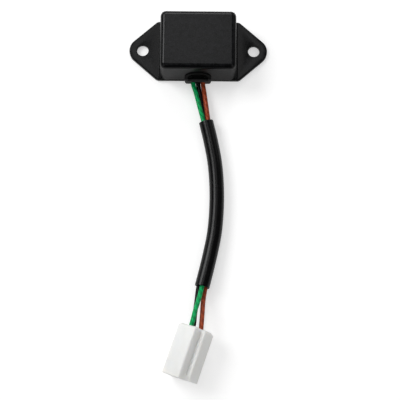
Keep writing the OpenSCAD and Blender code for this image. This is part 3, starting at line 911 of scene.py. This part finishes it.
def strand(name, points, radius, resolution, capped):
    """Round curve through points, its ends capped or open."""
    curve = bpy.data.curves.new(name, "CURVE")
    curve.dimensions = "3D"
    curve.bevel_depth = radius
    curve.bevel_resolution = resolution
    curve.use_fill_caps = capped
    spline = curve.splines.new("POLY")
    spline.points.add(len(points) - 1)
    for target, point in zip(spline.points, points):
        target.co = (*point, 1)
    spline.use_smooth = True
    piece = bpy.data.objects.new(name, curve)
    bpy.context.scene.collection.objects.link(piece)
    return piece


def connector_frame(s):
    """Where the connector lies: rolled on its long edge, then turned."""
    place = Vector((CONNECTOR_AT[0] * MM, CONNECTOR_AT[1] * MM, s.bar_w / 2 * sin(s.roll)))
    roll = Matrix.Rotation(-s.roll, 4, "Y")
    return Matrix.Translation(place) @ Matrix.Rotation(s.turn, 4, "Z") @ roll


def cavity_middles(s):
    """Place of each wire's cavity across the connector, and the turn of the cavity."""
    side_z = s.bar_t / 2
    return {
        "green": (0, s.bar_t + s.stem_cavity_z, 0),
        "black": (-s.cavity_x, side_z, pi / 2),
        "brown": (s.cavity_x, side_z, pi / 2),
    }


def in_sleeve(wire, lead, i):
    """Where a wire lies in the sleeve at one of the sleeve's points."""
    route = metres(SLEEVE_ROUTE)
    u = i / (len(route) - 1)
    along = heading(route, i)
    side = Vector((-along.y, along.x, 0)).normalized()
    angle = radians(BUNDLE_ANGLE[wire]) - lead.twist * min(1, u / SPREAD_FROM)
    spread = BUNDLE_SPREAD[wire] * MM * max(0, (u - SPREAD_FROM) / (1 - SPREAD_FROM))
    out = lead.bundle_r * cos(angle) + spread
    up = lead.bundle_r * sin(angle) - BUNDLE_SINK * MM * (1 - u)
    return route[i] + out * side + up * along.cross(side)


def wire_route(wire, scene):
    """Points of a wire from the board to its terminal."""
    lead, grommet = scene.regulator_lead, scene.regulator_grommet
    connector = scene.regulator_connector
    front, inner = fronts(scene)
    x, y = (v * MM for v in WIRE_PAD[wire])
    exit_x = (WIRES.index(wire) - 1) * lead.exit_step
    step = exit_x - x
    flange_y = inner + grommet.flange_t + FLANGE_LEAD * MM
    lip_y = front - grommet.lip_out
    head = [Vector((x, y, z * MM)) for z in (BOARD_Z, BOARD_Z - WIRE_DROP)]
    head += [
        Vector((x + step * part, y - forward * MM, lead.exit_z + rise * MM))
        for part, forward, rise in HEAD
    ]
    head += [Vector((exit_x, exit_y, lead.exit_z)) for exit_y in (flange_y, lip_y)]
    covered = [in_sleeve(wire, lead, i) for i in range(len(SLEEVE_ROUTE))]
    cavity = cavity_middles(connector)[wire]
    side, up = (v * MM for v in ENTRY_SHIFT[wire])
    lead_in = ENTRY_LEAD * MM
    tail = [
        connector_frame(connector)
        @ Vector((cavity[0] + side * part, -back, cavity[1] + up * part))
        for back, part in ((0, 1), (lead_in, 0.5), (2 * lead_in, 0), (WIRE_END * MM, 0))
    ]
    return head + metres(FREE_MID[wire]) + covered + metres(TAIL_MID[wire]) + tail


def model_wires(scene):
    """Three insulated wires, each on its own curve from the board to its terminal."""
    lead, colours = scene.regulator_lead, scene.regulator_finishes
    for i, wire in enumerate(WIRES):
        points = smooth(wire_route(wire, scene), WIRE_STEP)
        piece = strand(wire + "_wire", points, lead.wire_d / 2, 6, capped=True)
        vinyl = wire_insulation(wire, getattr(colours, wire))
        seat(piece, "wire_" + wire, vinyl)
        ends = [NODES["terminal_" + wire]]
        if wire == "green":
            ends += [bpy.data.objects["t_connector"], bpy.data.objects["rubber_grommet"]]


def model_sleeve(scene):
    """Open tube over the wires, its cut ends softly rounded."""
    lead = scene.regulator_lead
    points = smooth(metres(SLEEVE_ROUTE), SLEEVE_STEP)
    outer = lead.sleeve_bore / 2 + lead.sleeve_wall
    work_on(strand("lead_sleeve", points, outer, 10, capped=False))
    bpy.ops.object.convert(target="MESH")
    piece = finish_mesh(bpy.context.object, "lead_sleeve", SLEEVE_ANGLE)
    modify(piece, "SOLIDIFY", thickness=lead.sleeve_wall, offset=-1)
    pick(piece, "EDGE", lambda e: e.calc_face_angle(0) > radians(SLEEVE_ANGLE))
    bpy.ops.mesh.bevel(offset=SLEEVE_EDGE, segments=3, affect="EDGES")
    leave_edit()
    finish_mesh(piece, "lead_sleeve", SLEEVE_ANGLE)
    seat(piece, "sleeve", sleeve_vinyl(scene.regulator_finishes.vinyl))


def bevelled_bar(width, low, high, s):
    """Bar with round long edges and a flat bevel round its wire end."""
    bar = block((-width / 2, -s.long, low), (width / 2, -s.end_bevel, high))
    round_edges(bar, lambda e: runs_along(e, Y), s.long_edge, 5)
    pick(bar, "FACE", facing(Y))
    bpy.ops.mesh.extrude_region_move(TRANSFORM_OT_translate={"value": (0, s.end_bevel, 0)})
    share = (1 - 2 * s.end_bevel / width, 1, 1 - 2 * s.end_bevel / (high - low))
    narrow(share, (0, 0, (low + high) / 2))
    return bar


# The connector's edges sharper than this many degrees are rounded and drawn sharp
CONNECTOR_ANGLE = 40


def model_connector(scene):
    """T connector: two way bar, one way stem, corner webs, cavities and blade slots."""
    s = scene.regulator_connector
    body = bevelled_bar(s.bar_w, 0, s.bar_t, s)
    combine(body, bevelled_bar(s.stem_w, s.bar_t / 2, s.bar_t + s.stem_h, s), "UNION")
    web_top = s.bar_t + s.stem_h / 2
    web = block(
        (-s.bar_w / 2, -s.long, s.bar_t - s.long_edge),
        (s.bar_w / 2, s.front_wall - s.long, web_top),
    )
    pick(web, "FACE", facing(Z))
    narrow((s.stem_w / s.bar_w, 1, 1), (0, -s.long, web_top))
    combine(body, web, "UNION")

    half_w, half_h = s.cavity_w / 2, s.cavity_h / 2
    floor_y = s.front_wall - s.long
    for x, z, turn in cavity_middles(s).values():
        hollow = block((-half_w, floor_y, -half_h), (half_w, OVER, half_h))
        slot = block(
            (-s.slot_w / 2, -s.long - OVER, -s.slot_h / 2),
            (s.slot_w / 2, floor_y + OVER, s.slot_h / 2),
        )
        combine(hollow, slot, "UNION")
        lie(hollow, Matrix.Translation((x, 0, z)) @ Matrix.Rotation(turn, 4, "Y"))
        combine(body, hollow)

    modify(
        body, "BEVEL", width=s.fine_edge, segments=3, limit_method="ANGLE",
        angle_limit=radians(CONNECTOR_ANGLE),
    )
    lie(body, connector_frame(s))
    finish_mesh(body, "t_connector", CONNECTOR_ANGLE)
    nylon = connector_nylon(scene.regulator_finishes.nylon)
    seat(body, "connector_housing", nylon)


def dress_solids(scene):
    """Materials for the solids that stay: resin, board, parts, solder and terminals."""
    colours = scene.regulator_finishes
    resistor = leaded_part("resistor_coat", TAN, bands=BANDS)
    device = leaded_part("device_plastic", (0.022, 0.022, 0.024))
    brass = bright_metal("terminal_brass", colours.brass)
    finishes = {
        "potting": potting_resin(colours.resin),
        "circuit_board": board_laminate(),
        "power_transistor": device,
        "control_transistor": device,
        "flyback_diode": device,
        "zener_diode": leaded_part("device_glass_red", (0.5, 0.12, 0.04), 0.1, 0.2),
        "sense_resistor": resistor,
        "divider_resistor": resistor,
        "base_resistor": resistor,
        "filter_capacitor": leaded_part("capacitor_case", (0.34, 0.05, 0.03)),
        "solder_joints": bright_metal("solder", (0.6, 0.6, 0.62), 0.2, 0.36),
        "terminal_green": brass,
        "terminal_black": brass,
        "terminal_brown": brass,
    }
    for node, material in finishes.items():
        coat(NODES[node], material)


# The photograph's camera: its tilt from straight down, its roll, what it looks at, how
# far from it, and its lens and sensor in millimetres
CAMERA_TILT = radians(90 - 78.4)
CAMERA_ROLL = radians(0.529)
CAMERA_TARGET = Vector((1.697, -81.807, 0)) * MM
CAMERA_DISTANCE = 0.55
CAMERA_LENS = 93.97
CAMERA_SENSOR = 36
CAMERA_NEAR = 10 * MM
FLOOR_SIDE = 8.0

# Each lamp: where it stands, its width across, its power in watts
LAMPS = {
    "window": ((-1.0, 0.5, 1.0), 0.8, 12.0),
    "strip": ((0.1, 1.15, 0.7), 0.5, 3.0),
}
AIM = Vector((0, -70, 0)) * MM
# The room's even light, and what surfaces reflect of it: its level between the panels,
# and white where a ray's direction is lower than this
ROOM_LIGHT = 0.52
ROOM_DARK = 0.05
BACKDROP_TOP = 0.03
# The floor's white: its strength, its share before the camera and in reflections, and
# the distances from the lamps' aim between which the camera's share grows to the whole
FLOOR_GLOW = 1.76
FLOOR_SHARE = 0.25
FLOOR_MIRRORED = 0.045
FLOOR_WHITE = (0.25, 0.6)
# Each panel of the room that surfaces reflect: its direction, the degrees from it
# up to which it is full and at which it is gone, and its level
PANELS = [
    ((-0.03, 0.36, 0.93), 5, 15, 1.85),
    ((-0.57, 0.34, 0.75), 12, 16, 7.5),
    ((-0.07, 0.76, 0.65), 12, 16, 6.0),
    ((0.62, -0.56, 0.55), 12, 24, 0.9),
    ((-0.62, -0.56, 0.55), 12, 24, 0.9),
    ((0.66, 0.6, 0.45), 10, 20, 0.9),
    ((-0.66, 0.6, 0.45), 10, 20, 0.9),
]


def build_stage(scene):
    """Camera, soft lamps, pale world and floor."""
    leave_edit()
    bpy.ops.object.camera_add()
    camera = bpy.context.object
    camera.name = "view_camera"
    camera.data.sensor_width = CAMERA_SENSOR
    camera.data.lens = CAMERA_LENS
    camera.data.clip_start = CAMERA_NEAR
    turn = Matrix.Rotation(CAMERA_TILT, 4, "X") @ Matrix.Rotation(CAMERA_ROLL, 4, "Z")
    back = Matrix.Translation((0, 0, CAMERA_DISTANCE))
    camera.matrix_world = Matrix.Translation(CAMERA_TARGET) @ turn @ back
    scene.camera = camera

    for name, (place, width, power) in LAMPS.items():
        leave_edit()
        bpy.ops.object.light_add(type="AREA", location=place)
        lamp = bpy.context.object
        lamp.name = name
        lamp.data.shape = "DISK"
        lamp.data.size = width
        lamp.data.energy = power
        lamp.visible_glossy = False
        lamp.rotation_euler = (Vector(place) - AIM).to_track_quat("Z", "Y").to_euler()

    scene.world = studio_world()

    leave_edit()
    bpy.ops.mesh.primitive_plane_add(size=FLOOR_SIDE, location=(0, 0, 0))
    floor = settle()
    floor.name = "studio_floor"
    coat(floor, studio_floor(scene.regulator_finishes.floor))
    scene.view_settings.view_transform = "Standard"


class REGULATOR_OT_stage(bpy.types.Operator):
    """Adds the camera, the lamps, the world and the floor"""

    bl_idname = "regulator.stage"
    bl_label = "Stage"

    def execute(self, context):
        build_stage(context.scene)
        return {"FINISHED"}


class REGULATOR_OT_case(bpy.types.Operator):
    """Models the moulded case with its fixing ears"""

    bl_idname = "regulator.case"
    bl_label = "Case"

    def execute(self, context):
        model_case(context.scene)
        return {"FINISHED"}


class REGULATOR_OT_grommet(bpy.types.Operator):
    """Models the rubber grommet in the front wall"""

    bl_idname = "regulator.grommet"
    bl_label = "Grommet"

    def execute(self, context):
        model_grommet(context.scene)
        return {"FINISHED"}


class REGULATOR_OT_connector(bpy.types.Operator):
    """Models the T connector"""

    bl_idname = "regulator.connector"
    bl_label = "Connector"

    def execute(self, context):
        model_connector(context.scene)
        return {"FINISHED"}


class REGULATOR_OT_wires(bpy.types.Operator):
    """Lays the three wires from the board to their terminals"""

    bl_idname = "regulator.wires"
    bl_label = "Wires"

    def execute(self, context):
        model_wires(context.scene)
        return {"FINISHED"}


class REGULATOR_OT_sleeve(bpy.types.Operator):
    """Models the sleeve over the wires"""

    bl_idname = "regulator.sleeve"
    bl_label = "Sleeve"

    def execute(self, context):
        model_sleeve(context.scene)
        return {"FINISHED"}


class REGULATOR_OT_solids(bpy.types.Operator):
    """Gives the solids that stay their materials"""

    bl_idname = "regulator.solids"
    bl_label = "Inner parts"

    def execute(self, context):
        dress_solids(context.scene)
        return {"FINISHED"}


OPERATORS = (
    REGULATOR_OT_stage,
    REGULATOR_OT_case,
    REGULATOR_OT_grommet,
    REGULATOR_OT_connector,
    REGULATOR_OT_wires,
    REGULATOR_OT_sleeve,
    REGULATOR_OT_solids,
)


class REGULATOR_PT_pieces(bpy.types.Panel):
    """Lists the pieces and their sizes in the sidebar"""

    bl_idname = "REGULATOR_PT_pieces"
    bl_label = "Voltage regulator"
    bl_space_type = "VIEW_3D"
    bl_region_type = "UI"
    bl_category = "Regulator"

    def draw(self, context):
        for operator in OPERATORS:
            self.layout.operator(operator.bl_idname)
        for name, group in SETTINGS.items():
            box = self.layout.box()
            box.label(text=group.__doc__.rstrip("."))
            for key in group.__annotations__:
                box.prop(getattr(context.scene, name), key)


SETTINGS = {
    "regulator_case": CaseSizes,
    "regulator_grommet": GrommetSizes,
    "regulator_lead": LeadSizes,
    "regulator_connector": ConnectorSizes,
    "regulator_finishes": Finishes,
}
CLASSES = (*SETTINGS.values(), *OPERATORS, REGULATOR_PT_pieces)


def register():
    """Registers the classes and hangs the sizes on the scene."""
    for item in CLASSES:
        bpy.utils.register_class(item)
    for name, group in SETTINGS.items():
        setattr(bpy.types.Scene, name, PointerProperty(type=group))


def unregister():
    """Takes the sizes off the scene and the classes out."""
    for name in SETTINGS:
        delattr(bpy.types.Scene, name)
    for item in reversed(CLASSES):
        bpy.utils.unregister_class(item)


def main():
    """Makes every piece in order."""
    register()
    for operator in OPERATORS:
        getattr(bpy.ops.regulator, operator.bl_idname.split(".")[1])()
    bpy.context.view_layer.update()


if __name__ == "__main__":
    main()
